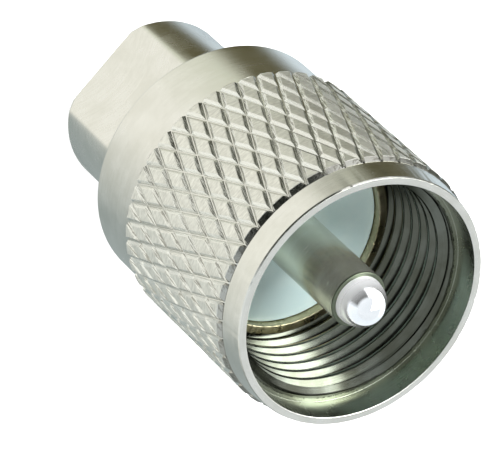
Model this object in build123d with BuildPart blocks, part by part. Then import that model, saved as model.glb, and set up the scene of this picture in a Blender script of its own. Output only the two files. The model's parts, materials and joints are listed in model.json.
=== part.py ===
"""A male UHF cable plug: a knurled coupling nut spins and slides on a clamp type plug body.

The plug stands on the rear face of its clamp nut, with the axis on Z and the pin pointing up.
The flats of the clamp nut face -Y and +Y. All sizes are millimetres.
"""

import os
from math import pi, sqrt

from build123d import *

# Coupling thread, the standard interface that sets the size of the nut
thread_major_diameter = 15.875
thread_pitch = 25.4 / 24
thread_length = 9.6

# Coupling nut
nut_length = 19.4
nut_wall = 0.82
thread_relief_depth = 0.11
mouth_step = 0.42
mouth_wall = 0.54
mouth_depth = 2.0
front_ring_length = 1.83
collar_length = 5.1
lip_cheek = 0.7
nut_rear_chamfer = 0.35
rim_chamfer = 0.1

# Diamond knurl
knurl_rise = 0.23
knurl_depth = 0.2
knurl_pitch = 1.39
knurl_row_spacing = 1.75
knurl_land_width = 0.88
knurl_valley_width = 0.04
knurl_end_bevel = 0.35
knurl_first_row = 0.22
knurl_turn = 2.8

# Clamp nut, the round rear piece with two spanner flats
clamp_nut_diameter = 12.4
clamp_nut_length = 9.3
flat_spacing = 9.9
flat_stop = 1.8
clamp_nut_chamfer = 0.45
cable_bore_diameter = 5.4
cable_lead_in = 0.5
clamp_thread_diameter = 9.3
clamp_thread_length = 2.2

# Cable clamping parts, stacked in the rear bore of the body
gasket_thickness = 1.6
washer_thickness = 0.5
washer_bore_diameter = 6.1
braid_clamp_length = 1.35
braid_clamp_bore_diameter = 3.3
seat_cone_height = 1.4

# Plug body, turned in one piece
neck_wall = 0.92
rear_shoulder_step = 0.5
rear_shoulder_length = 0.85
flange_web = 1.1
flange_rim_wall = 0.7
body_chamfer = 0.15

# Insulator, a stepped disc
insulator_recess = 0.6
insulator_thickness = 2.0
insulator_tail_diameter = 6.5
insulator_tail_length = 1.15

# Centre contact
pin_diameter = 3.9
pin_reach = 8.96
pin_edge_round = 0.16
dome_diameter = 3.14
dome_neck = 0.56
contact_stem_diameter = 2.4
contact_stem_tail = 0.5
solder_cup_diameter = 1.1
solder_cup_depth = 3.0

# Retaining ring, split so that it can spring over the rear shoulder
ring_thickness = 0.9
ring_catch = 0.55
ring_gap_width = 2.2

# Clearances
running_clearance = 0.1
flange_clearance = 0.165
end_clearance = 0.15
ring_play = 0.05
seat_clearance = 0.03

# Heights along the axis, from the rear face upwards
body_rear = clamp_nut_length
spigot_top = body_rear + clamp_thread_length
gasket_top = spigot_top + gasket_thickness
washer_top = gasket_top + washer_thickness
seat_base = washer_top + braid_clamp_length
tail_end = seat_base + seat_cone_height
pocket_floor = tail_end + insulator_tail_length
insulator_face = pocket_floor + insulator_thickness
body_front = insulator_face + insulator_recess
flange_rear = pocket_floor - flange_web
shoulder_top = body_rear + rear_shoulder_length
ring_rear = shoulder_top + ring_play
ring_front = ring_rear + ring_thickness
groove_rear = ring_rear - ring_play
groove_front = ring_front + ring_play
nut_rear = body_rear + end_clearance
nut_front = nut_rear + nut_length
lip_front = groove_front + lip_cheek
thread_start = nut_front - mouth_depth
thread_end = thread_start - thread_length
ring_end = nut_front - front_ring_length
knurl_front = ring_end - knurl_first_row
knurl_rear = nut_rear + collar_length

# Radii, the nut's from its thread outwards and the body's from its bore outwards
thread_radius = thread_major_diameter / 2 - 1.0825 * thread_pitch / 2
thread_relief_radius = thread_major_diameter / 2 + thread_relief_depth
mouth_radius = thread_major_diameter / 2 + mouth_step
front_ring_radius = mouth_radius + mouth_wall
collar_radius = thread_relief_radius + nut_wall
root_radius = collar_radius + knurl_rise
crest_radius = root_radius + knurl_depth
flange_radius = thread_radius - flange_clearance
pocket_radius = flange_radius - flange_rim_wall
clamp_part_radius = clamp_thread_diameter / 2
rear_bore_radius = clamp_part_radius + seat_clearance
tail_bore_radius = insulator_tail_diameter / 2 + seat_clearance
stem_bore_radius = contact_stem_diameter / 2 + seat_clearance
neck_radius = rear_bore_radius + neck_wall
rear_shoulder_radius = neck_radius + rear_shoulder_step
lip_bore_radius = rear_shoulder_radius + running_clearance
ring_inner_radius = neck_radius + running_clearance
ring_outer_radius = lip_bore_radius + ring_catch
ring_groove_radius = ring_outer_radius + running_clearance


def half_section(*corners):
    """Half of a turned outline, from its (radius, height) corners."""
    with BuildSketch(Plane.XZ) as section:
        with BuildLine():
            Polyline(*corners, close=True)
        make_face()
    return section.sketch


def ring_edges(part, radius, height):
    """The circular edges of one radius at one height."""
    circles = part.edges().filter_by(GeomType.CIRCLE)
    level = circles.filter_by_position(Axis.Z, height - 0.001, height + 0.001)
    return level.filter_by(lambda edge: abs(edge.radius - radius) < 0.001)


def washer_sketch(outer_radius, inner_radius, height):
    """A flat ring about the axis at one height."""
    with BuildSketch(Plane.XY.offset(height)) as outline:
        Circle(outer_radius)
        Circle(inner_radius, mode=Mode.SUBTRACT)
    return outline.sketch


os.makedirs("parts", exist_ok=True)

# The clamp nut: a round barrel with two flats, and a threaded spigot that enters the body
with BuildPart() as clamp_nut:
    with BuildSketch(Plane.XY):
        Circle(clamp_nut_diameter / 2)
    extrude(amount=clamp_nut_length)
    chamfer(ring_edges(clamp_nut, clamp_nut_diameter / 2, 0), clamp_nut_chamfer)
    with BuildSketch(Plane.XY):
        Rectangle(clamp_nut_diameter, clamp_nut_diameter)
        Rectangle(clamp_nut_diameter, flat_spacing, mode=Mode.SUBTRACT)
    extrude(amount=clamp_nut_length - flat_stop, mode=Mode.SUBTRACT)
    with BuildSketch(Plane.XY.offset(clamp_nut_length)):
        Circle(clamp_part_radius)
    extrude(amount=clamp_thread_length)
    with BuildSketch(Plane.XY):
        Circle(cable_bore_diameter / 2)
    extrude(amount=spigot_top, mode=Mode.SUBTRACT)
    chamfer(ring_edges(clamp_nut, cable_bore_diameter / 2, 0), cable_lead_in)
clamp_nut.part.label = "clamp_nut"
export_step(clamp_nut.part, "parts/clamp_nut.step")

# The plug body: flange, neck and rear shoulder outside, insulator pocket and cable bore inside
with BuildPart() as plug_body:
    revolve(
        half_section(
            (rear_bore_radius, body_rear),
            (rear_shoulder_radius, body_rear),
            (rear_shoulder_radius, shoulder_top),
            (neck_radius, shoulder_top),
            (neck_radius, flange_rear),
            (flange_radius, flange_rear),
            (flange_radius, body_front),
            (pocket_radius, body_front),
            (pocket_radius, pocket_floor),
            (tail_bore_radius, pocket_floor),
            (tail_bore_radius, tail_end),
            (rear_bore_radius, seat_base),
        ),
        axis=Axis.Z,
    )
    chamfer(ring_edges(plug_body, flange_radius, body_front), body_chamfer)
    chamfer(ring_edges(plug_body, flange_radius, flange_rear), body_chamfer)
plug_body.part.label = "plug_body"
export_step(plug_body.part, "parts/plug_body.step")

# The insulator: a disc in the pocket with a tail through the web of the body
with BuildPart() as insulator:
    revolve(
        half_section(
            (stem_bore_radius, tail_end),
            (insulator_tail_diameter / 2, tail_end),
            (insulator_tail_diameter / 2, pocket_floor),
            (pocket_radius - seat_clearance, pocket_floor),
            (pocket_radius - seat_clearance, insulator_face),
            (stem_bore_radius, insulator_face),
        ),
        axis=Axis.Z,
    )
insulator.part.label = "insulator"
export_step(insulator.part, "parts/insulator.step")

# The centre contact: pin with a shouldered dome in front, solder cup behind
pin_radius = pin_diameter / 2
dome_radius = dome_diameter / 2
stem_radius = contact_stem_diameter / 2
pin_shoulder = insulator_face + pin_reach
dome_centre = pin_shoulder + dome_neck
stem_end = tail_end - contact_stem_tail
with BuildPart() as centre_contact:
    with BuildSketch(Plane.XZ):
        with BuildLine():
            Polyline(
                (0, dome_centre + dome_radius),
                (0, stem_end),
                (stem_radius, stem_end),
                (stem_radius, insulator_face),
                (pin_radius, insulator_face),
                (pin_radius, pin_shoulder),
                (dome_radius, pin_shoulder),
                (dome_radius, dome_centre),
            )
            RadiusArc((dome_radius, dome_centre), (0, dome_centre + dome_radius), -dome_radius)
        make_face()
    revolve(axis=Axis.Z)
    fillet(ring_edges(centre_contact, pin_radius, pin_shoulder), pin_edge_round)
    with BuildSketch(Plane.XY.offset(stem_end)):
        Circle(solder_cup_diameter / 2)
    extrude(amount=solder_cup_depth, mode=Mode.SUBTRACT)
centre_contact.part.label = "centre_contact"
export_step(centre_contact.part, "parts/centre_contact.step")

# The gasket: a rubber ring that grips the cable jacket when the clamp nut squeezes it
with BuildPart() as gasket:
    extrude(
        washer_sketch(clamp_part_radius, cable_bore_diameter / 2, spigot_top),
        amount=gasket_thickness,
    )
gasket.part.label = "gasket"
export_step(gasket.part, "parts/gasket.step")

# The washer between the gasket and the braid clamp
with BuildPart() as clamp_washer:
    extrude(
        washer_sketch(clamp_part_radius, washer_bore_diameter / 2, gasket_top),
        amount=washer_thickness,
    )
clamp_washer.part.label = "clamp_washer"
export_step(clamp_washer.part, "parts/clamp_washer.step")

# The braid clamp: a sleeve with a cone that wedges the cable braid against the body's seat
cone_top = tail_end - seat_clearance
seat_slope = (rear_bore_radius - tail_bore_radius) / seat_cone_height
cone_top_radius = clamp_part_radius - seat_slope * (cone_top - seat_base)
with BuildPart() as braid_clamp:
    revolve(
        half_section(
            (braid_clamp_bore_diameter / 2, washer_top),
            (clamp_part_radius, washer_top),
            (clamp_part_radius, seat_base),
            (cone_top_radius, cone_top),
            (braid_clamp_bore_diameter / 2, cone_top),
        ),
        axis=Axis.Z,
    )
braid_clamp.part.label = "braid_clamp"
export_step(braid_clamp.part, "parts/braid_clamp.step")

# The retaining ring: a split ring on the neck, held in the groove of the coupling nut's lip
with BuildPart() as retaining_ring:
    extrude(washer_sketch(ring_outer_radius, ring_inner_radius, ring_rear), amount=ring_thickness)
    with BuildSketch(Plane.XY.offset(ring_rear)):
        with Locations((ring_outer_radius, 0)):
            Rectangle(2 * (ring_outer_radius - ring_inner_radius) + 1, ring_gap_width)
    extrude(amount=ring_thickness, mode=Mode.SUBTRACT)
retaining_ring.part.label = "retaining_ring"
export_step(retaining_ring.part, "parts/retaining_ring.step")

# The knurl's lattice: whole diamonds round the nut, whole rows between front ring and collar
knurl_count = round(2 * pi * crest_radius / knurl_pitch)
diamond_width = 2 * pi * crest_radius / knurl_count
row_count = round((knurl_front - knurl_rear) / knurl_row_spacing)
row_spacing = (knurl_front - knurl_rear) / row_count
diamond_aspect = 2 * row_spacing / diamond_width

# Each diamond is a blunt pyramid: its foot is sunk just under the root circle
foot_at_root = (diamond_width - knurl_valley_width) / 2
flank_run = (foot_at_root - knurl_land_width / 2) / knurl_depth
foot_radius = sqrt(root_radius**2 - foot_at_root**2) - seat_clearance / 2
foot_half_width = knurl_land_width / 2 + flank_run * (crest_radius - foot_radius)


def rhombus(radius, half_width):
    """A rhombus, long along the axis, on the plane that touches the +X side at one radius."""
    half_length = half_width * diamond_aspect
    with BuildSketch(Plane.YZ.offset(radius)) as outline:
        with BuildLine():
            Polyline(
                (half_width, 0),
                (0, half_length),
                (-half_width, 0),
                (0, -half_length),
                close=True,
            )
        make_face()
    return outline.sketch


with BuildPart() as diamond:
    foot = rhombus(foot_radius, foot_half_width)
    land = rhombus(crest_radius, knurl_land_width / 2)
    loft([foot, land], ruled=True)

# The front row is cut by the bevel that ends the knurl, the last row by the step to the collar
bevel_top = ring_end - knurl_front
bevel_foot = bevel_top - knurl_end_bevel
cut_radius = crest_radius + knurl_depth
with BuildPart() as front_diamond:
    add(diamond.part)
    revolve(
        half_section(
            (front_ring_radius, bevel_top),
            (root_radius, bevel_top),
            (crest_radius, bevel_foot),
            (cut_radius, bevel_foot),
            (cut_radius, 2 * row_spacing),
            (front_ring_radius, 2 * row_spacing),
        ),
        axis=Axis.Z,
        mode=Mode.SUBTRACT,
    )
with BuildPart() as rear_half_diamond:
    add(diamond.part)
    split(bisect_by=Plane.XY, keep=Keep.TOP)

# The coupling nut: turned outline first, then the knurl, row by row from the front
with BuildPart() as coupling_nut:
    revolve(
        half_section(
            (lip_bore_radius, nut_rear),
            (collar_radius, nut_rear),
            (collar_radius, knurl_rear),
            (root_radius, knurl_rear),
            (root_radius, ring_end),
            (front_ring_radius, ring_end),
            (front_ring_radius, nut_front),
            (mouth_radius, nut_front),
            (mouth_radius, thread_start),
            (thread_radius, thread_start),
            (thread_radius, thread_end),
            (thread_relief_radius, thread_end),
            (thread_relief_radius, lip_front),
            (lip_bore_radius, lip_front),
            (lip_bore_radius, groove_front),
            (ring_groove_radius, groove_front),
            (ring_groove_radius, groove_rear),
            (lip_bore_radius, groove_rear),
        ),
        axis=Axis.Z,
    )
    chamfer(ring_edges(coupling_nut, collar_radius, nut_rear), nut_rear_chamfer)
    chamfer(ring_edges(coupling_nut, front_ring_radius, nut_front), rim_chamfer)
    chamfer(ring_edges(coupling_nut, mouth_radius, nut_front), rim_chamfer)
    for row in range(row_count + 1):
        first_angle = knurl_turn + 180 / knurl_count * (row % 2)
        if row == 0:
            tooth = front_diamond
        elif row == row_count:
            tooth = rear_half_diamond
        else:
            tooth = diamond
        with Locations((0, 0, knurl_front - row * row_spacing)):
            with PolarLocations(0, knurl_count, first_angle):
                add(tooth.part)
coupling_nut.part.label = "coupling_nut"
export_step(coupling_nut.part, "parts/coupling_nut.step")
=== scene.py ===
"""Looks of a male UHF cable plug: knurled nickel nut, turned body, white insulator and domed pin.

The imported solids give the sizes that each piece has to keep, and each piece sits where its solid is.
Sizes are millimetres until a mesh is made, which is in metres.
"""

import json
import math

import bmesh
import bpy
from mathutils import Matrix, Vector, noise


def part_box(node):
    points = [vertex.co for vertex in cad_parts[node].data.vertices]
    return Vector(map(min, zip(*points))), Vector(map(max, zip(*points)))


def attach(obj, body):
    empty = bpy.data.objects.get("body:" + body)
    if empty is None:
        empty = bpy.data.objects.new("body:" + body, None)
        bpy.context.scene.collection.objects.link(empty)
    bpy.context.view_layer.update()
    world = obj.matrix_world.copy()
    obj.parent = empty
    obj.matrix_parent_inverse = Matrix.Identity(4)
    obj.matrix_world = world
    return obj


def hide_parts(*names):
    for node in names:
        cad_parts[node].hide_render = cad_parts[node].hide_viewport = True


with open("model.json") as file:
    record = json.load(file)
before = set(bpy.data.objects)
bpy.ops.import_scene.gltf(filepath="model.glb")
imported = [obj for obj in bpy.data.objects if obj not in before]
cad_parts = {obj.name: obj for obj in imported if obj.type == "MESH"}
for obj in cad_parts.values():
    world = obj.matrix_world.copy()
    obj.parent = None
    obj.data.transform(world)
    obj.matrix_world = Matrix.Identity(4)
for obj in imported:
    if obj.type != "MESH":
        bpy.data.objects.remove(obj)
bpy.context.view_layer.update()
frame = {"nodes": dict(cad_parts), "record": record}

MM = 0.001


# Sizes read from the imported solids


def solid_size(node):
    """Outer radius, lowest height and highest height of a solid, in millimetres."""
    low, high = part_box(node)
    return high.x / MM, low.z / MM, high.z / MM


_, nut_rear, nut_front = solid_size("coupling_nut")
flange_radius, body_rear, body_front = solid_size("plug_body")
insulator_radius, insulator_rear, insulator_face = solid_size("insulator")
pin_radius, contact_rear, contact_front = solid_size("centre_contact")
barrel_radius, _, spigot_top = solid_size("clamp_nut")
_, ring_rear, ring_front = solid_size("retaining_ring")
# The spigot of the clamp nut follows the braid clamp into the same bore
spigot_radius, _, _ = solid_size("braid_clamp")
mounts = {mount["name"]: mount for mount in frame["record"]["mounts"]}
thread_radius = mounts["coupling_thread"]["dims"]["r_mm"]
thread_length = mounts["coupling_thread"]["dims"]["length_mm"]
cable_radius = mounts["cable_bore"]["dims"]["r_mm"]

# Coupling nut
thread_pitch = 25.4 / 24
thread_depth = 0.5413 * thread_pitch
mouth_depth = 2.0
mouth_radius = 8.36
front_ring_length = 1.83
front_ring_radius = 8.9
front_ring_rear_radius = 9.07
rim_bevel_length = 0.13
rim_bevel_depth = 0.055
ring_gap_length = 0.21
ring_gap_depth = 0.12
collar_length = 5.1
collar_radius = 8.87
rear_chamfer = 0.35
thread_relief_radius = 8.05
lip_bore_radius = 6.2
lip_front = 11.85
ring_groove_radius = 6.85
ring_play = 0.05
thread_start = nut_front - mouth_depth
thread_end = thread_start - thread_length
ring_end = nut_front - front_ring_length
knurl_rear = nut_rear + collar_length

# Knurl
crest_radius = 9.2975
knurl_depth = 0.2
root_radius = crest_radius - knurl_depth
diamonds_round = 42
row_gaps = 7
land_share = 0.62
valley_share = 0.03
end_bevel = 0.42
bevel_slope = end_bevel / knurl_depth
knurl_turn = math.radians(2.8)
knurl_front = ring_end - 0.22
row_spacing = (knurl_front - knurl_rear) / row_gaps

# Plug body
pocket_radius = 6.5
shoulder_top = 10.15
neck_radius = 5.6
rear_shoulder_radius = 6.1
flange_rear = 16.4
pocket_floor = 17.5
tail_end = 16.35
seat_base = 14.95
flange_chamfer = 0.15
rear_bore_radius = 4.68
tail_bore_radius = 3.28

# Insulator and centre contact
insulator_tail_radius = 3.25
stem_radius = 1.2
stem_clearance = 0.03
dome_radius = 1.68
pin_shoulder = 28.46
solder_cup_radius = 0.55
solder_cup_depth = 3.0

# Clamp nut
barrel_front = body_rear
flat_half_spacing = 4.95
flat_end = 7.5
barrel_chamfer = 0.45
barrel_edge = 0.1
spigot_chamfer = 0.15
cable_lead_in = 0.5

# Steps round the axis, for wide and for narrow turned pieces
WIDE_STEPS = 384
NARROW_STEPS = 192

# The camera's place in millimetres, from a fit to the circles of the nut in the photo
camera_place = Vector((-12.577, -204.318, 241.174))
camera_right = Vector((-0.6488, 0.5829, 0.4892))
camera_up = Vector((-0.7595, -0.4563, -0.4637))
camera_focal_length = 335.78
camera_side = Vector((camera_place.x, camera_place.y)).normalized()

# Light
world_strength = 1.27
ambient_light = (0.48, 0.48, 0.48, 1)
white = (1, 1, 1, 1)


# Node trees


class Wire:
    """An output socket, so that maths on sockets reads as a plain expression."""

    def __init__(self, nodes, socket):
        self.nodes = nodes
        self.socket = socket

    def __add__(self, other):
        return self.nodes.maths("ADD", self, other)

    def __radd__(self, other):
        return self.nodes.maths("ADD", other, self)

    def __sub__(self, other):
        return self.nodes.maths("SUBTRACT", self, other)

    def __rsub__(self, other):
        return self.nodes.maths("SUBTRACT", other, self)

    def __mul__(self, other):
        return self.nodes.maths("MULTIPLY", self, other)

    def __rmul__(self, other):
        return self.nodes.maths("MULTIPLY", other, self)

    def __truediv__(self, other):
        return self.nodes.maths("DIVIDE", self, other)

    def __gt__(self, other):
        return self.nodes.maths("GREATER_THAN", self, other)

    def smaller_of(self, other):
        return self.nodes.maths("MINIMUM", self, other)

    def larger_of(self, other):
        return self.nodes.maths("MAXIMUM", self, other)

    def whole(self):
        return self.nodes.maths("FLOOR", self)

    def size(self):
        return self.nodes.maths("ABSOLUTE", self)


class Nodes:
    """Adds nodes to one tree, which belongs to a material, the world or a geometry modifier."""

    def __init__(self, tree):
        self.tree = tree

    def add(self, kind, settings=None, sockets=None, output=0):
        """One node: its settings first, then the values or links of its sockets."""
        node = self.tree.nodes.new(kind)
        for name, value in (settings or {}).items():
            if name == "stops":
                set_stops(node.color_ramp, value)
            else:
                setattr(node, name, value)
        for key, value in (sockets or {}).items():
            if isinstance(value, Wire):
                self.tree.links.new(value.socket, node.inputs[key])
            else:
                node.inputs[key].default_value = value
        return Wire(self, node.outputs[output]) if node.outputs else None

    def maths(self, operation, *values):
        return self.add("ShaderNodeMath", {"operation": operation}, dict(enumerate(values)))

    def vector(self, x, y, z):
        return self.add("ShaderNodeCombineXYZ", {}, {"X": x, "Y": y, "Z": z})

    def parts_of(self, vector):
        """The three numbers of a vector."""
        split = self.add("ShaderNodeSeparateXYZ", {}, {"Vector": vector})
        return [Wire(self, socket) for socket in split.socket.node.outputs]

    def ramp(self, value, low, high, start=0.0, end=1.0):
        """A soft step: start below low, end above high."""
        sockets = {"Value": value, "From Min": low, "From Max": high, "To Min": start, "To Max": end}
        return self.add("ShaderNodeMapRange", {"interpolation_type": "SMOOTHSTEP"}, sockets)

    def blend(self, factor, first, second):
        """A colour between two colours."""
        sockets = {0: factor, 6: first, 7: second}
        return self.add("ShaderNodeMix", {"data_type": "RGBA"}, sockets, output=2)

    def noise(self, vector, scale, detail=3.0, roughness=0.5):
        sockets = {"Vector": vector, "Scale": scale, "Detail": detail, "Roughness": roughness}
        return self.add("ShaderNodeTexNoise", {}, sockets)

    def bump(self, height, depth):
        """A surface relief: height goes from 0 to 1 and depth is its size in metres."""
        return self.add("ShaderNodeBump", {}, {"Height": height, "Distance": depth, "Strength": 1.0})


def set_stops(colour_ramp, stops):
    """Fills a colour ramp from (position, colour) pairs."""
    elements = colour_ramp.elements
    while len(elements) < len(stops):
        elements.new(0.5)
    for element, (position, colour) in zip(elements, stops):
        element.position = position
        element.color = colour


# Finishes


def new_finish(name):
    """An empty material with its nodes, and the place on the piece in millimetres."""
    material = bpy.data.materials.new(name)
    material.use_nodes = True
    material.node_tree.nodes.clear()
    nodes = Nodes(material.node_tree)
    place = nodes.add("ShaderNodeTexCoord", {}, {}, output="Object")
    millimetres = nodes.add("ShaderNodeVectorMath", {"operation": "SCALE"}, {0: place, "Scale": 1 / MM})
    return material, nodes, millimetres


def close_finish(material, nodes, sockets):
    """Ends a material in one Principled shader."""
    surface = nodes.add("ShaderNodeBsdfPrincipled", {}, sockets)
    nodes.add("ShaderNodeOutputMaterial", {}, {"Surface": surface})
    return material


def turning_marks(nodes, millimetres, fineness):
    """Fine rings left by a lathe tool: they run round the axis on walls and on faces alike."""
    x, y, z = nodes.parts_of(millimetres)
    radius = nodes.maths("SQRT", x * x + y * y)
    across = (z + radius * 1.3) * fineness
    place = nodes.vector(x * 0.12, y * 0.12, across)
    return nodes.noise(place, 1.0, detail=4.0, roughness=0.65)


def plated(name, colour, deep_colour, roughness, marks=1.0, fineness=9.0, bare=1.0):
    """A plated or turned metal, with faint tool marks and cloudy patches. Less bare is hazier."""
    material, nodes, millimetres = new_finish(name)
    rings = turning_marks(nodes, millimetres, fineness)
    cloud = nodes.noise(millimetres, 0.45, detail=4.0, roughness=0.6)
    grain = nodes.noise(millimetres, 22.0, detail=3.0, roughness=0.7)
    worn = nodes.ramp(cloud * 0.7 + rings * 0.3, 0.35, 0.68)
    shade = nodes.blend(worn, deep_colour, colour)
    specks = nodes.ramp(grain, 0.3, 0.42, 0.8, 1.0)
    speck_colour = (*[0.8 * part for part in colour[:3]], 1)
    dimmed = nodes.blend(specks, speck_colour, shade)
    rough = nodes.ramp(cloud, 0.3, 0.7, roughness * 0.85, roughness * 1.2) + rings * 0.06
    height = rings * 0.8 + grain * 0.2
    relief = nodes.bump(height, 0.004 * MM * marks)
    return close_finish(material, nodes, {
        "Base Color": dimmed,
        "Metallic": bare,
        "Roughness": rough,
        "Normal": relief,
    })


def knurled(name, colour, deep_colour, land_colour, roughness):
    """Nickel plate on the knurl, with the streaks that the knurling wheels leave along each flank, and
    painted shade in the valleys and on the bevel behind the front ring.

    The attribute groove holds a place between the crossing grooves, both ways from -1 to 1, and the
    height there. The attribute tone is one random number for each diamond.
    """
    material, nodes, millimetres = new_finish(name)
    groove = nodes.add("ShaderNodeAttribute", {"attribute_name": "groove"}, {}, output="Vector")
    tone = nodes.add("ShaderNodeAttribute", {"attribute_name": "tone"}, {}, output="Fac")
    first, second, height = nodes.parts_of(groove)
    on_first = first.size() > second.size()
    across = nodes.add("ShaderNodeMix", {}, {0: on_first, 2: second, 3: first})
    along = nodes.add("ShaderNodeMix", {}, {0: on_first, 2: first, 3: second})
    streak_place = nodes.vector(across * 9.0 + along * 1.6, along * 0.8, tone * 40.0 + on_first * 7.0)
    streaks = nodes.noise(streak_place, 1.0, detail=3.0, roughness=0.7)
    land_place = nodes.vector((first - second) * 7.0, (first + second) * 0.7, tone * 23.0)
    land_marks = nodes.noise(land_place, 1.0, detail=3.0, roughness=0.6)
    on_flank = nodes.ramp(height, 0.99, 0.85)
    grain = nodes.noise(millimetres, 26.0, detail=3.0, roughness=0.7)
    flank_shade = nodes.blend(nodes.ramp(streaks, 0.3, 0.7) * 0.6 + tone * 0.4, deep_colour, colour)
    land_shade = nodes.blend(nodes.ramp(land_marks, 0.3, 0.7), deep_colour, land_colour)
    shade = nodes.blend(on_flank, land_shade, flank_shade)
    drag_lines = nodes.ramp(streaks, 0.52, 0.44) * on_flank * (1.0 - on_first) * 0.6
    dragged = nodes.blend(drag_lines, shade, (0.1, 0.1, 0.08, 1))
    _, _, z = nodes.parts_of(millimetres)
    bevel_start = ring_end - end_bevel
    behind_ring = nodes.ramp(z, bevel_start, bevel_start + 0.08)
    # Painted shade: darker low in the valleys between the diamonds and on the bevel just behind the
    # front ring
    knurl_painted_shade = (nodes.ramp(height, 0.14, 0.0) * 0.8).larger_of(behind_ring * 0.6)
    knurl_with_painted_shade = nodes.blend(knurl_painted_shade, dragged, (0.2, 0.19, 0.16, 1))
    flank_rough = nodes.ramp(streaks, 0.25, 0.75, roughness * 0.8, roughness * 1.25) + tone * 0.06
    rough = flank_rough + (1.0 - on_flank) * 0.27
    relief = streaks * on_flank + land_marks * (1.0 - on_flank) * 0.6 + grain * 0.15
    bump = nodes.bump(relief * (1.0 - behind_ring * 0.85), 0.028 * MM)
    return close_finish(material, nodes, {
        "Base Color": knurl_with_painted_shade,
        "Metallic": 1.0,
        "Roughness": rough,
        "Normal": bump,
    })


def polished(name, colour, deep_colour):
    """The dome of the pin: nickel polished bright, with a duller foot where it meets the shoulder."""
    material, nodes, millimetres = new_finish(name)
    _, _, z = nodes.parts_of(millimetres)
    cloud = nodes.noise(millimetres, 0.9, detail=3.0)
    scuffs = nodes.noise(millimetres, 6.0, detail=4.0, roughness=0.7)
    foot = nodes.ramp(z, pin_shoulder + 0.15, pin_shoulder + 1.6, 0.28, 0.05)
    bare = nodes.ramp(z, pin_shoulder + 0.15, pin_shoulder + 1.9, 0.45, 1.0)
    shade = nodes.blend(nodes.ramp(cloud, 0.35, 0.65), deep_colour, colour)
    return close_finish(material, nodes, {
        "Base Color": shade,
        "Metallic": bare,
        "Roughness": foot + scuffs * 0.03,
        "Normal": nodes.bump(scuffs, 0.002 * MM),
    })


def white_plastic(name):
    """The insulator: smooth white plastic with a faint cloud and a turned face."""
    material, nodes, millimetres = new_finish(name)
    rings = turning_marks(nodes, millimetres, 5.0)
    cloud = nodes.noise(millimetres, 0.6, detail=3.0)
    shade = nodes.blend(nodes.ramp(cloud, 0.35, 0.7), (0.72, 0.92, 0.91, 1), (0.77, 0.95, 0.93, 1))
    relief = nodes.bump(rings, 0.003 * MM)
    return close_finish(material, nodes, {
        "Base Color": shade,
        "Roughness": nodes.ramp(cloud, 0.3, 0.7, 0.34, 0.46),
        "Normal": relief,
    })


def black_rubber(name):
    """The gasket: dull moulded rubber."""
    material, nodes, millimetres = new_finish(name)
    grain = nodes.noise(millimetres, 9.0, detail=5.0, roughness=0.7)
    shade = nodes.blend(grain, (0.012, 0.012, 0.013, 1), (0.045, 0.044, 0.042, 1))
    return close_finish(material, nodes, {
        "Base Color": shade,
        "Roughness": nodes.ramp(grain, 0.3, 0.7, 0.55, 0.75),
        "Normal": nodes.bump(grain, 0.02 * MM),
    })


nickel = (0.7, 0.69, 0.65, 1)
deep_nickel = (0.62, 0.61, 0.56, 1)
knurl_finish = knurled("knurled nickel", (0.76, 0.77, 0.74, 1), (0.64, 0.63, 0.58, 1),
                       (0.84, 0.83, 0.77, 1), 0.2)
nut_finish = plated("turned nickel", nickel, deep_nickel, 0.2)
# Painted shade: a darker copy of the nut's nickel for the walls inside the mouth
mouth_nickel_painted_shade = plated("dull nickel of the mouth", (0.34, 0.36, 0.3, 1), (0.25, 0.26, 0.21, 1), 0.24)
# Painted shade: a much darker copy of the nut's nickel for the thread deep inside the nut
thread_nickel_painted_shade = plated("threaded nickel", (0.13, 0.138, 0.118, 1), (0.075, 0.078, 0.06, 1), 0.17,
                       marks=0.5)
body_finish = plated("body nickel", (0.52, 0.47, 0.32, 1), (0.36, 0.32, 0.2, 1), 0.26)
# Painted shade: a dark copy of the pin's nickel for the shoulder round the dome's foot
shoulder_nickel_painted_shade = plated("dull turned shoulder", (0.15, 0.17, 0.125, 1), (0.1, 0.115, 0.08, 1), 0.32)
pin_finish = plated("pin nickel", (0.86, 0.88, 0.8, 1), (0.66, 0.67, 0.56, 1), 0.2,
                    fineness=12.0, bare=0.89)
dome_finish = polished("polished nickel", (0.95, 0.95, 0.97, 1), (0.88, 0.89, 0.91, 1))
barrel_finish = plated("barrel nickel", nickel, deep_nickel, 0.22)
bronze_finish = plated("spring bronze", (0.66, 0.47, 0.24, 1), (0.5, 0.33, 0.15, 1), 0.3)
brass_finish = plated("turned brass", (0.78, 0.6, 0.28, 1), (0.62, 0.45, 0.18, 1), 0.25)
insulator_finish = white_plastic("white insulator")
gasket_finish = black_rubber("gasket rubber")


# Mesh tools


def finished_piece(name, mesh, body, finishes, replaced=None, crease=32):
    """Puts a mesh in the scene as a piece that rides a body. A grown mesh has its finish already."""
    piece = bpy.data.objects.new(name, mesh)
    bpy.context.scene.collection.objects.link(piece)
    mesh.shade_smooth()
    mesh.set_sharp_from_angle(angle=math.radians(crease))
    if not mesh.materials:
        for finish in finishes:
            mesh.materials.append(finish)
    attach(piece, body)
    if replaced:
        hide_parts(replaced)
    return piece


def set_finish(piece, index, belongs):
    """Gives one of a piece's finishes to faces, chosen by their radius and height in millimetres."""
    for face in piece.data.polygons:
        if belongs(face.center.xy.length / MM, face.center.z / MM):
            face.material_index = index


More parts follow.
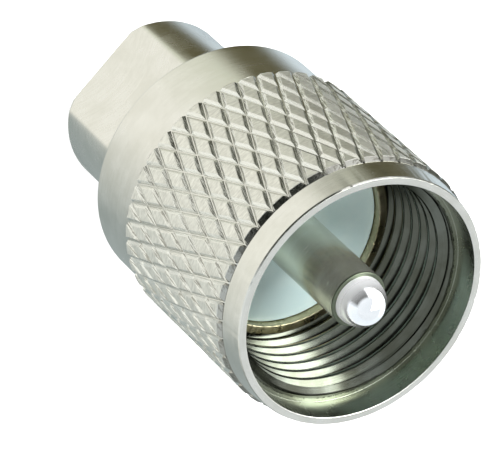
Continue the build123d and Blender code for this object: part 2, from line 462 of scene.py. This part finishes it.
def softened(corners, closed=True):
    """An outline with its corners rounded. Each corner is (radius, height, rounding).

    One more point on each side of a rounding keeps the shading of the straight part straight.
    """
    points = []
    count = len(corners)
    for index, (radius, height, rounding) in enumerate(corners):
        here = Vector((radius, height))
        if rounding == 0 or (not closed and index in (0, count - 1)):
            points.append(here)
            continue
        before = Vector(corners[index - 1][:2]) - here
        after = Vector(corners[(index + 1) % count][:2]) - here
        half_angle = before.angle(after) / 2
        reach = rounding / math.tan(half_angle)
        reach = min(reach, 0.4 * before.length, 0.4 * after.length)
        start = here + before.normalized() * reach
        end = here + after.normalized() * reach
        points.append(here + before.normalized() * reach * 1.2)
        for share in (0, 0.2, 0.4, 0.6, 0.8, 1):
            points.append(start * (1 - share) ** 2 + here * 2 * share * (1 - share) + end * share**2)
        points.append(here + after.normalized() * reach * 1.2)
    return points


def add_ring(shape, points):
    """One ring of vertices from (x, y, z) millimetre points."""
    return [shape.verts.new(Vector(point) * MM) for point in points]


def join_rings(shape, one, two):
    """Faces between two rings of vertices. A ring of one vertex is a pole."""
    steps = max(len(one), len(two))
    for step in range(steps):
        following = (step + 1) % steps
        corners = [one[step % len(one)], one[following % len(one)]]
        corners += [two[following % len(two)], two[step % len(two)]]
        unique = list(dict.fromkeys(corners))
        if len(unique) > 2:
            shape.faces.new(unique)


def to_mesh(shape, name):
    """A Blender mesh with its faces turned outwards."""
    bmesh.ops.recalc_face_normals(shape, faces=shape.faces)
    mesh = bpy.data.meshes.new(name)
    shape.to_mesh(mesh)
    shape.free()
    return mesh


def set_order(shape):
    """Orders vertices and faces by place, because some mesh tools shuffle them from run to run."""
    for parts, place in (
        (shape.verts, lambda vertex: vertex.co[:]),
        (shape.faces, lambda face: face.calc_center_median()[:]),
    ):
        ranks = {part: rank for rank, part in enumerate(sorted(parts, key=place))}
        parts.sort(key=ranks.get)


def turned_mesh(name, outline, steps=WIDE_STEPS, unevenness=None):
    """A solid of revolution from (radius, height) points. Unevenness shifts a point at an angle."""
    shape = bmesh.new()
    rings = []
    for radius, height in outline:
        if radius < 1e-6:
            rings.append(add_ring(shape, [(0, 0, height)]))
            continue
        ring = []
        for step in range(steps):
            angle = 2 * math.pi * step / steps
            spot = Vector((radius, height))
            if unevenness:
                spot = spot + unevenness(spot, angle)
            ring.append((spot.x * math.cos(angle), spot.x * math.sin(angle), spot.y))
        rings.append(add_ring(shape, ring))
    for one, two in zip(rings, rings[1:] + rings[:1]):
        join_rings(shape, one, two)
    return to_mesh(shape, name)


# Coupling nut


def rim_wear(spot, angle):
    """Small burrs and dents along the outer edge of the nut's front rim."""
    reach = 0.35
    wave_depth = 0.012
    nick_depth = 0.16
    edge = Vector((front_ring_radius, nut_front))
    distance = (spot - edge).length
    if distance > reach:
        return Vector((0, 0))
    place = Vector((math.cos(angle), math.sin(angle), 0)) * front_ring_radius
    wave = noise.noise(place * 2.6)
    nick = max(0, noise.noise(place * 5.5 + Vector((9, 4, 2))) - 0.28)
    fall = 1 - distance / reach
    inward = fall * (wave_depth * wave - nick_depth * nick)
    return Vector((inward, inward * 0.5 - abs(inward) * 0.5))


def nut_shell():
    """The turned part of the nut: front ring, groove, knurl root, collar, lip and inner walls."""
    return turned_mesh("nut_shell", softened([
        (lip_bore_radius, nut_rear, 0.06),
        (collar_radius - rear_chamfer, nut_rear, 0.12),
        (collar_radius, nut_rear + rear_chamfer, 0.2),
        (collar_radius, knurl_rear, 0.02),
        (root_radius, knurl_rear, 0),
        (root_radius, ring_end - ring_gap_length, 0),
        (root_radius - ring_gap_depth, ring_end, 0),
        (front_ring_rear_radius, ring_end, 0.01),
        (front_ring_radius, nut_front - rim_bevel_length, 0.03),
        (front_ring_radius - rim_bevel_depth, nut_front, 0.02),
        (mouth_radius, nut_front, 0.06),
        (mouth_radius, thread_start, 0.04),
        (thread_relief_radius, thread_start, 0),
        (thread_relief_radius, lip_front, 0.1),
        (lip_bore_radius, lip_front, 0.05),
        (lip_bore_radius, ring_front + ring_play, 0.03),
        (ring_groove_radius, ring_front + ring_play, 0.03),
        (ring_groove_radius, ring_rear - ring_play, 0.03),
        (lip_bore_radius, ring_rear - ring_play, 0.03),
    ]), unevenness=rim_wear)


def diamond_height(first, second):
    """Share of the knurl's depth at a place between the grooves, both from -1 to 1."""
    out = max(abs(first), abs(second))
    flank = (1 - valley_share - out) / (1 - valley_share - land_share)
    return min(1.0, flank)


def diamond_mesh():
    """One blunt pyramid of the knurl, on the +X side, with its middle at height 0."""
    rounding = 0.03
    foot_height = -0.12
    shape = bmesh.new()
    half = [land_share - rounding, land_share + rounding, 1 - valley_share, 1.0]
    lines = [-value for value in reversed(half)] + half
    half_angle = math.pi / diamonds_round
    groove_layer = shape.verts.layers.float_vector.new("groove")
    grid = []
    for first in lines:
        column = []
        for second in lines:
            height = diamond_height(first, second)
            out = max(abs(first), abs(second))
            if out > 1 - valley_share:
                height = foot_height
            angle = (first + second) / 2 * half_angle
            radius = root_radius + height * knurl_depth
            z = (first - second) / 2 * row_spacing
            corner = (radius * math.cos(angle), radius * math.sin(angle), z)
            vertex = shape.verts.new(Vector(corner) * MM)
            vertex[groove_layer] = (first, second, max(height, 0))
            column.append(vertex)
        grid.append(column)
    last = len(lines) - 2
    for i, (one, two) in enumerate(zip(grid, grid[1:])):
        for j, (a, b, c, d) in enumerate(zip(one, one[1:], two[1:], two)):
            if i == j:
                # Split along the ridge where two flanks meet
                shape.faces.new((a, b, c))
                shape.faces.new((a, c, d))
            elif i + j == last:
                shape.faces.new((a, b, d))
                shape.faces.new((b, c, d))
            else:
                shape.faces.new((a, b, c, d))
    rim = [edge for edge in shape.edges if edge.is_boundary]
    bmesh.ops.contextual_create(shape, geom=rim)
    return to_mesh(shape, "diamond")


def knurl_tree():
    """Geometry nodes that set staggered rows of diamonds round the axis."""
    tree = bpy.data.node_groups.new("diamond knurl", "GeometryNodeTree")
    inputs = [
        ("Diamond", "NodeSocketGeometry"),
        ("Diamonds round", "NodeSocketInt"),
        ("Rows", "NodeSocketInt"),
        ("Row spacing", "NodeSocketFloat"),
        ("Turn", "NodeSocketFloat"),
        ("First row height", "NodeSocketFloat"),
        ("Front height", "NodeSocketFloat"),
        ("Front bevel slope", "NodeSocketFloat"),
        ("Root radius", "NodeSocketFloat"),
        ("Rear height", "NodeSocketFloat"),
        ("Unevenness", "NodeSocketFloat"),
        ("Seed", "NodeSocketInt"),
        ("Finish", "NodeSocketMaterial"),
    ]
    for name, kind in inputs:
        tree.interface.new_socket(name, in_out="INPUT", socket_type=kind)
    tree.interface.new_socket("Knurl", in_out="OUTPUT", socket_type="NodeSocketGeometry")
    nodes = Nodes(tree)
    group = nodes.add("NodeGroupInput").socket.node
    given = {socket.name: Wire(nodes, socket) for socket in group.outputs if socket.name}

    def uneven(low, high, offset):
        """A fixed random number for each diamond, between low and high."""
        sockets = {2: low, 3: high, "Seed": given["Seed"] + offset}
        return nodes.add("FunctionNodeRandomValue", {"data_type": "FLOAT"}, sockets, output=1)

    count = given["Diamonds round"] * given["Rows"]
    line = nodes.add("GeometryNodeMeshLine", {}, {"Count": count})
    index = nodes.add("GeometryNodeInputIndex")
    row = (index / given["Diamonds round"]).whole()
    column = index - row * given["Diamonds round"]
    stagger = (row - (row / 2.0).whole() * 2.0) * 0.5
    turn = (column + stagger) * (2 * math.pi) / given["Diamonds round"] + given["Turn"]
    height = given["First row height"] - row * given["Row spacing"]
    wobble = given["Unevenness"]
    height = height + uneven(-1.0, 1.0, 1) * wobble * 0.02 * MM
    turn = turn + uneven(-1.0, 1.0, 2) * wobble * 0.0012
    reach = uneven(-1.0, 0.0, 4) * wobble * 0.0018 + 1.0
    spots = nodes.add("GeometryNodeSetPosition", {}, {
        "Geometry": line,
        "Position": nodes.vector(0.0, 0.0, height),
    })
    rotation = nodes.add("FunctionNodeEulerToRotation", {}, {0: nodes.vector(0.0, 0.0, turn)})
    placed = nodes.add("GeometryNodeInstanceOnPoints", {}, {
        "Points": spots,
        "Instance": given["Diamond"],
        "Rotation": rotation,
        "Scale": nodes.vector(reach, reach, 1.0),
    })
    toned = nodes.add("GeometryNodeStoreNamedAttribute", {"data_type": "FLOAT", "domain": "INSTANCE"}, {
        "Geometry": placed,
        "Name": "tone",
        "Value": uneven(0.0, 1.0, 5),
    })
    solid = nodes.add("GeometryNodeRealizeInstances", {}, {"Geometry": toned})
    x, y, z = nodes.parts_of(nodes.add("GeometryNodeInputPosition"))
    radius = nodes.maths("SQRT", x * x + y * y)
    rise = (radius - given["Root radius"]).larger_of(0.0)
    front_cone = given["Front height"] - rise * given["Front bevel slope"]
    trimmed = z.smaller_of(front_cone).larger_of(given["Rear height"])
    cut = nodes.add("GeometryNodeSetPosition", {}, {
        "Geometry": solid,
        "Position": nodes.vector(x, y, trimmed),
    })
    dressed = nodes.add("GeometryNodeSetMaterial", {}, {"Geometry": cut, "Material": given["Finish"]})
    nodes.add("NodeGroupOutput", {}, {0: dressed})
    return tree


def grown_mesh(name, mesh, tree, values):
    """The plain mesh that a geometry node tree makes of a mesh, with its inputs set by name."""
    source = bpy.data.objects.new(name, mesh)
    bpy.context.scene.collection.objects.link(source)
    modifier = source.modifiers.new(name, "NODES")
    modifier.node_group = tree
    for item in tree.interface.items_tree:
        if item.name in values:
            modifier[item.identifier] = values[item.name]
    evaluated = source.evaluated_get(bpy.context.evaluated_depsgraph_get())
    grown = bpy.data.meshes.new_from_object(evaluated)
    grown.name = name
    bpy.data.objects.remove(source)
    return grown


def nut_knurl():
    """All the diamonds of the knurl, bevelled at the front ring and cut off at the collar."""
    return grown_mesh("nut_knurl", diamond_mesh(), knurl_tree(), {
        "Diamonds round": diamonds_round,
        "Rows": row_gaps + 1,
        "Row spacing": row_spacing * MM,
        "Turn": knurl_turn,
        "First row height": knurl_front * MM,
        "Front height": ring_end * MM,
        "Front bevel slope": bevel_slope,
        "Root radius": root_radius * MM,
        "Rear height": knurl_rear * MM,
        "Unevenness": 1.0,
        "Seed": 7,
        "Finish": knurl_finish,
    })


def nut_thread():
    """The internal thread: a helical surface cut square at both ends and closed behind."""
    # Half a turn's profile from crest to root: share of the pitch, share of the depth
    profile = [(0, 0), (0.095, 0), (0.125, 0.03), (0.16, 0.1), (0.41, 0.9), (0.44, 0.97), (0.465, 1)]
    whole = profile + [(1 - share, depth) for share, depth in reversed(profile[1:])]
    steps = 240
    deepest_radius = thread_radius + thread_depth + 0.03
    backing_radius = thread_relief_radius + 0.06
    first_turn = math.floor(thread_end / thread_pitch) - 1
    last_turn = math.ceil(thread_start / thread_pitch)
    shape = bmesh.new()
    columns = []
    for step in range(steps + 1):
        angle = 2 * math.pi * step / steps
        column = []
        for turn in range(first_turn, last_turn + 1):
            for share, depth in whole:
                z = (turn + share + step / steps) * thread_pitch
                lead_in = deepest_radius - (thread_start - z)
                radius = max(thread_radius + depth * thread_depth, lead_in)
                radius = min(radius, deepest_radius)
                column.append((radius * math.cos(angle), radius * math.sin(angle), z))
        columns.append(add_ring(shape, column))
    for one, two in zip(columns, columns[1:]):
        for a, b, c, d in zip(one, one[1:], two[1:], two):
            shape.faces.new((a, b, c, d))
    bmesh.ops.remove_doubles(shape, verts=shape.verts, dist=1e-7)
    for height, direction in ((thread_start, 1), (thread_end, -1)):
        bmesh.ops.bisect_plane(
            shape,
            geom=shape.verts[:] + shape.edges[:] + shape.faces[:],
            plane_co=(0, 0, height * MM),
            plane_no=(0, 0, direction),
            clear_outer=True,
        )
    bmesh.ops.remove_doubles(shape, verts=shape.verts, dist=1e-6)
    backs = []
    for height in (thread_start, thread_end):
        edges = [edge for edge in shape.edges if edge.is_boundary
                 and all(abs(vertex.co.z - height * MM) < 1e-6 for vertex in edge.verts)]
        spread = bmesh.ops.extrude_edge_only(shape, edges=edges)["geom"]
        for vertex in (item for item in spread if isinstance(item, bmesh.types.BMVert)):
            flat = Vector((vertex.co.x, vertex.co.y))
            vertex.co.xy = flat.normalized() * backing_radius * MM
        backs.append([item for item in spread if isinstance(item, bmesh.types.BMEdge)
                      and all(vertex in spread for vertex in item.verts) and item.is_boundary])
    bmesh.ops.bridge_loops(shape, edges=backs[0] + backs[1])
    set_order(shape)
    return to_mesh(shape, "nut_thread")


# Plug body and what it holds


def edge_burr(spot, angle):
    """A fine uneven burr on the inner edge of the body's front face."""
    reach = 0.2
    burr_height = 0.06
    distance = (spot - Vector((pocket_radius, body_front))).length
    if distance > reach:
        return Vector((0, 0))
    place = Vector((math.cos(angle), math.sin(angle), 0)) * pocket_radius
    wave = noise.noise(place * 4.2) + 0.7 * noise.noise(place * 8.0)
    return Vector((0, burr_height * wave * (1 - distance / reach)))


def body_shell():
    """The turned body: flange, neck, rear shoulder, insulator pocket and cable bore."""
    return turned_mesh("body_shell", softened([
        (rear_bore_radius, body_rear, 0.05),
        (rear_shoulder_radius, body_rear, 0.05),
        (rear_shoulder_radius, shoulder_top, 0.05),
        (neck_radius, shoulder_top, 0.03),
        (neck_radius, flange_rear, 0.05),
        (flange_radius - flange_chamfer, flange_rear, 0.03),
        (flange_radius, flange_rear + flange_chamfer, 0.03),
        (flange_radius, body_front - flange_chamfer, 0.03),
        (flange_radius - flange_chamfer, body_front, 0.04),
        (pocket_radius, body_front, 0.06),
        (pocket_radius, pocket_floor, 0.03),
        (tail_bore_radius, pocket_floor, 0.03),
        (tail_bore_radius, tail_end, 0.03),
        (rear_bore_radius, seat_base, 0.03),
    ]), unevenness=edge_burr)


def insulator_disc():
    """The white stepped disc in the body's pocket."""
    bore = stem_radius + stem_clearance
    return turned_mesh("insulator_disc", softened([
        (bore, insulator_rear, 0.03),
        (insulator_tail_radius, insulator_rear, 0.06),
        (insulator_tail_radius, pocket_floor, 0.03),
        (insulator_radius, pocket_floor, 0.06),
        (insulator_radius, insulator_face, 0.09),
        (bore, insulator_face, 0.03),
    ]), steps=NARROW_STEPS)


def contact_pin():
    """The centre contact: stem with a solder cup, thick pin and a shouldered, blunt dome."""
    cup_floor = contact_rear + solder_cup_depth
    lower = softened([
        (0, cup_floor, 0),
        (solder_cup_radius, cup_floor, 0.03),
        (solder_cup_radius, contact_rear, 0.05),
        (stem_radius, contact_rear, 0.08),
        (stem_radius, insulator_face, 0.02),
        (pin_radius, insulator_face, 0.05),
        (pin_radius, pin_shoulder, 0.16),
        (dome_radius, pin_shoulder, 0),
    ], closed=False)
    arc_steps = 36
    dome_height = contact_front - pin_shoulder
    dome = []
    for step in range(1, arc_steps):
        angle = math.pi / 2 * step / arc_steps
        dome.append((dome_radius * math.cos(angle), pin_shoulder + dome_height * math.sin(angle)))
    return turned_mesh("contact_pin", lower + dome + [(0, contact_front)], steps=NARROW_STEPS)


def barrel_ring(shape, radius, flat, height):
    """One ring of the clamp nut: a circle, cut by two flats where flat is less than its radius.

    The steps are close together near the edges of the flats, and the softness rounds those edges.
    """
    edge = math.acos(min(1.0, flat / radius))
    near = [0.02, 0.05, 0.09, 0.16]
    arc_steps = 60
    flat_steps = 12
    softness = 0.006
    quarter = []
    for step in range(flat_steps):
        quarter.append(max(edge - near[-1], 0) * step / flat_steps)
    quarter += [edge - offset for offset in reversed(near)]
    quarter += [edge] + [edge + offset for offset in near]
    for step in range(1, arc_steps):
        quarter.append(edge + near[-1] + (math.pi / 2 - edge - near[-1]) * step / arc_steps)
    angles = quarter + [math.pi / 2] + [math.pi - angle for angle in reversed(quarter[1:])]
    angles += [math.pi + angle for angle in angles]
    points = []
    for angle in angles:
        reach = flat / max(abs(math.cos(angle)), 1e-6)
        gap = reach - radius
        distance = (reach + radius - math.sqrt(gap * gap + softness)) / 2 if flat < radius else radius
        points.append((distance * math.sin(angle), -distance * math.cos(angle), height))
    return add_ring(shape, points)


def clamp_barrel():
    """The clamp nut: a round barrel with two flats, a rear chamfer, a spigot and the cable bore."""
    no_flat = 2 * barrel_radius
    rise = 0.06
    rings = [
        (cable_radius, no_flat, cable_lead_in),
        (cable_radius + cable_lead_in - 0.03, no_flat, 0.03),
        (cable_radius + cable_lead_in + 0.03, no_flat, 0),
        (flat_half_spacing - 0.3, no_flat, 0),
        (barrel_radius - barrel_chamfer - 0.06, flat_half_spacing - rise, 0),
        (barrel_radius - barrel_chamfer, flat_half_spacing - 0.02, 0.015),
        (barrel_radius - barrel_chamfer + rise, flat_half_spacing, 0.06),
        (barrel_radius - rise, flat_half_spacing, barrel_chamfer - rise),
        (barrel_radius - 0.015, flat_half_spacing, barrel_chamfer),
        (barrel_radius, flat_half_spacing, barrel_chamfer + rise),
        (barrel_radius, flat_half_spacing, flat_end - rise),
        (barrel_radius, flat_half_spacing, flat_end),
        (barrel_radius, no_flat, flat_end),
        (barrel_radius, no_flat, barrel_front - barrel_edge),
        (barrel_radius - 0.02, no_flat, barrel_front - 0.03),
        (barrel_radius - barrel_edge, no_flat, barrel_front),
        (spigot_radius, no_flat, barrel_front),
        (spigot_radius, no_flat, spigot_top - spigot_chamfer),
        (spigot_radius - spigot_chamfer, no_flat, spigot_top),
        (cable_radius, no_flat, spigot_top),
    ]
    shape = bmesh.new()
    made = [barrel_ring(shape, *ring) for ring in rings]
    for one, two in zip(made, made[1:] + made[:1]):
        join_rings(shape, one, two)
    return to_mesh(shape, "clamp_barrel")


# Pieces

shell = finished_piece("nut_shell", nut_shell(), "coupling",
                       [nut_finish, mouth_nickel_painted_shade], "coupling_nut")
# Painted shade: the walls inside the nut take the darker copy of the nickel
set_finish(shell, 1, lambda radius, height: radius < mouth_radius + 0.01 and height < nut_front - 0.05)
finished_piece("nut_knurl", nut_knurl(), "coupling", [knurl_finish], crease=24)
finished_piece("nut_thread", nut_thread(), "coupling", [thread_nickel_painted_shade], crease=40)
finished_piece("body_shell", body_shell(), "plug", [body_finish], "plug_body")
finished_piece("insulator_disc", insulator_disc(), "plug",
               [insulator_finish], "insulator")
pin = finished_piece("contact_pin", contact_pin(), "plug",
                     [pin_finish, dome_finish, shoulder_nickel_painted_shade], "centre_contact")
set_finish(pin, 1, lambda radius, height: height > pin_shoulder + 0.02)
# Painted shade: the shoulder ring takes the dark copy of the nickel
set_finish(pin, 2, lambda radius, height: pin_shoulder - 0.1 < height <= pin_shoulder + 0.02)
finished_piece("clamp_barrel", clamp_barrel(), "plug", [barrel_finish], "clamp_nut")

for node, finish in (
    ("retaining_ring", bronze_finish),
    ("braid_clamp", brass_finish),
    ("clamp_washer", brass_finish),
    ("gasket", gasket_finish),
):
    solid = frame["nodes"][node]
    solid.data.materials.clear()
    solid.data.materials.append(finish)


# Studio


def pale_floor():
    """A wide pale floor under the plug. It keeps the shadow, and metal sees the studio instead."""
    half_width = 1.5
    glow_to_camera = 0.25
    shape = bmesh.new()
    signs = ((-1, -1), (1, -1), (1, 1), (-1, 1))
    shape.faces.new([shape.verts.new((x * half_width, y * half_width, 0)) for x, y in signs])
    floor = bpy.data.objects.new("floor", to_mesh(shape, "floor"))
    bpy.context.scene.collection.objects.link(floor)
    material = bpy.data.materials.new("floor")
    material.use_nodes = True
    material.node_tree.nodes.clear()
    nodes = Nodes(material.node_tree)
    matte = nodes.add("ShaderNodeBsdfDiffuse", {}, {"Color": (0.9, 0.9, 0.9, 1)})
    seen = nodes.add("ShaderNodeLightPath", {}, {}, output="Is Camera Ray")
    glow = nodes.add("ShaderNodeEmission", {}, {"Color": white, "Strength": seen * glow_to_camera})
    both = nodes.add("ShaderNodeAddShader", {}, {0: matte, 1: glow})
    nodes.add("ShaderNodeOutputMaterial", {}, {"Surface": both})
    floor.data.materials.append(material)
    floor.visible_glossy = False


def studio():
    """The world: plain white to the camera, soft ambient light, and a studio tent for metal to see."""
    world = bpy.data.worlds.new("studio")
    bpy.context.scene.world = world
    world.use_nodes = True
    world.node_tree.nodes.clear()
    nodes = Nodes(world.node_tree)
    direction = nodes.add("ShaderNodeTexCoord", {}, {}, output="Generated")
    x, y, z = nodes.parts_of(direction)
    # The turn is a half towards the camera and grows towards the -X side
    towards_camera = x * camera_side.x + y * camera_side.y
    sideways = x * camera_side.y - y * camera_side.x
    turn = nodes.maths("ARCTAN2", sideways, towards_camera) / (2 * math.pi) + 0.5
    grey_wall = (0.34, 0.39, 0.39, 1)
    white_sweep = (0.98, 0.98, 0.92, 1)
    shaded_sweep = (0.76, 0.79, 0.67, 1)
    brown_card = (0.11, 0.1, 0.05, 1)
    cool_window = (0.68, 0.78, 0.85, 1)
    bright_card = (1.05, 1.06, 1.0, 1)
    dim_wall = (0.27, 0.3, 0.29, 1)
    dark_card = (0.05, 0.055, 0.04, 1)
    dark_side = (0.12, 0.13, 0.11, 1)
    pale_wall = (0.76, 0.82, 0.86, 1)
    black_gap = (0.02, 0.025, 0.02, 1)
    soft_lamp = (1.3, 1.32, 1.32, 1)
    bright_lamp = (1.9, 1.95, 1.95, 1)
    ceiling = (0.73, 0.77, 0.79, 1)
    strip_lamp = (9.8, 10.2, 10.0, 1)
    # Lowest band, which the turned walls and the lands of the knurl mirror
    low_stops = [
        (0.0, grey_wall),
        (0.2, grey_wall),
        (0.43, white_sweep),
        (0.53, white_sweep),
        (0.7, shaded_sweep),
        (0.73, brown_card),
        (0.83, brown_card),
        (0.89, cool_window),
        (0.93, cool_window),
        (1.0, grey_wall),
    ]
    # Next band, which the flanks of the knurl's grooves mirror
    skirt_stops = [
        (0.0, dim_wall),
        (0.18, dim_wall),
        (0.28, bright_card),
        (0.42, bright_card),
        (0.58, white_sweep),
        (0.63, dark_card),
        (0.72, dark_card),
        (0.8, dark_side),
        (0.93, dark_side),
        (1.0, dim_wall),
    ]
    # Level band, which the bevel before the front ring and the side of the dome mirror
    level_stops = [
        (0.0, pale_wall),
        (0.38, pale_wall),
        (0.44, black_gap),
        (0.628, black_gap),
        (0.645, soft_lamp),
        (0.77, soft_lamp),
        (0.87, bright_lamp),
        (1.0, pale_wall),
    ]
    # Highest band, which forward faces and the front flanks of the thread mirror
    high_stops = [
        (0.0, ceiling),
        (0.695, ceiling),
        (0.706, strip_lamp),
        (0.82, strip_lamp),
        (0.845, bright_lamp),
        (0.9, ceiling),
        (1.0, ceiling),
    ]
    low, skirt, level, high = (
        nodes.add("ShaderNodeValToRGB", {"stops": stops}, {"Fac": turn})
        for stops in (low_stops, skirt_stops, level_stops, high_stops)
    )
    lower = nodes.blend(nodes.ramp(z, -0.66, -0.5), low, skirt)
    upper = nodes.blend(nodes.ramp(z, 0.4, 0.6), level, high)
    tent = nodes.blend(nodes.ramp(z, -0.26, -0.12), lower, upper)
    seen = nodes.add("ShaderNodeLightPath", {}, {}, output="Is Camera Ray")
    mirrored = nodes.add("ShaderNodeLightPath", {}, {}, output="Is Glossy Ray")
    ambient = nodes.blend(mirrored, ambient_light, tent)
    colour = nodes.blend(seen, ambient, white)
    background = nodes.add("ShaderNodeBackground", {}, {"Color": colour, "Strength": world_strength})
    nodes.add("ShaderNodeOutputWorld", {}, {"Surface": background})


def softbox(name, place, aim, width, height, power):
    """One soft area lamp, aimed at a point. Places are in metres."""
    lamp = bpy.data.lights.new(name, "AREA")
    lamp.shape = "RECTANGLE"
    lamp.size = width
    lamp.size_y = height
    lamp.energy = power
    holder = bpy.data.objects.new(name, lamp)
    holder.visible_glossy = False
    holder.location = place
    holder.rotation_euler = (Vector(aim) - Vector(place)).to_track_quat("-Z", "Y").to_euler()
    bpy.context.scene.collection.objects.link(holder)


def photo_camera():
    """The camera, at the photo's place and angle."""
    lens = bpy.data.cameras.new("camera")
    lens.sensor_width = 36.0
    lens.lens = camera_focal_length
    lens.clip_start = 0.01
    camera = bpy.data.objects.new("camera", lens)
    right = camera_right.normalized()
    back = camera_right.cross(camera_up).normalized()
    turned = Matrix((right, back.cross(right), back)).transposed()
    camera.matrix_world = Matrix.Translation(camera_place * MM) @ turned.to_4x4()
    bpy.context.scene.collection.objects.link(camera)
    bpy.context.scene.camera = camera


photo_camera()
pale_floor()
studio()
plug_middle = (0, 0, 0.015)
softbox("key", (-0.35, -0.1, 0.3), plug_middle, 0.3, 0.3, 4.0)
softbox("fill", (0.3, -0.25, 0.35), plug_middle, 0.4, 0.4, 2.0)

bpy.context.scene.view_settings.view_transform = "Standard"
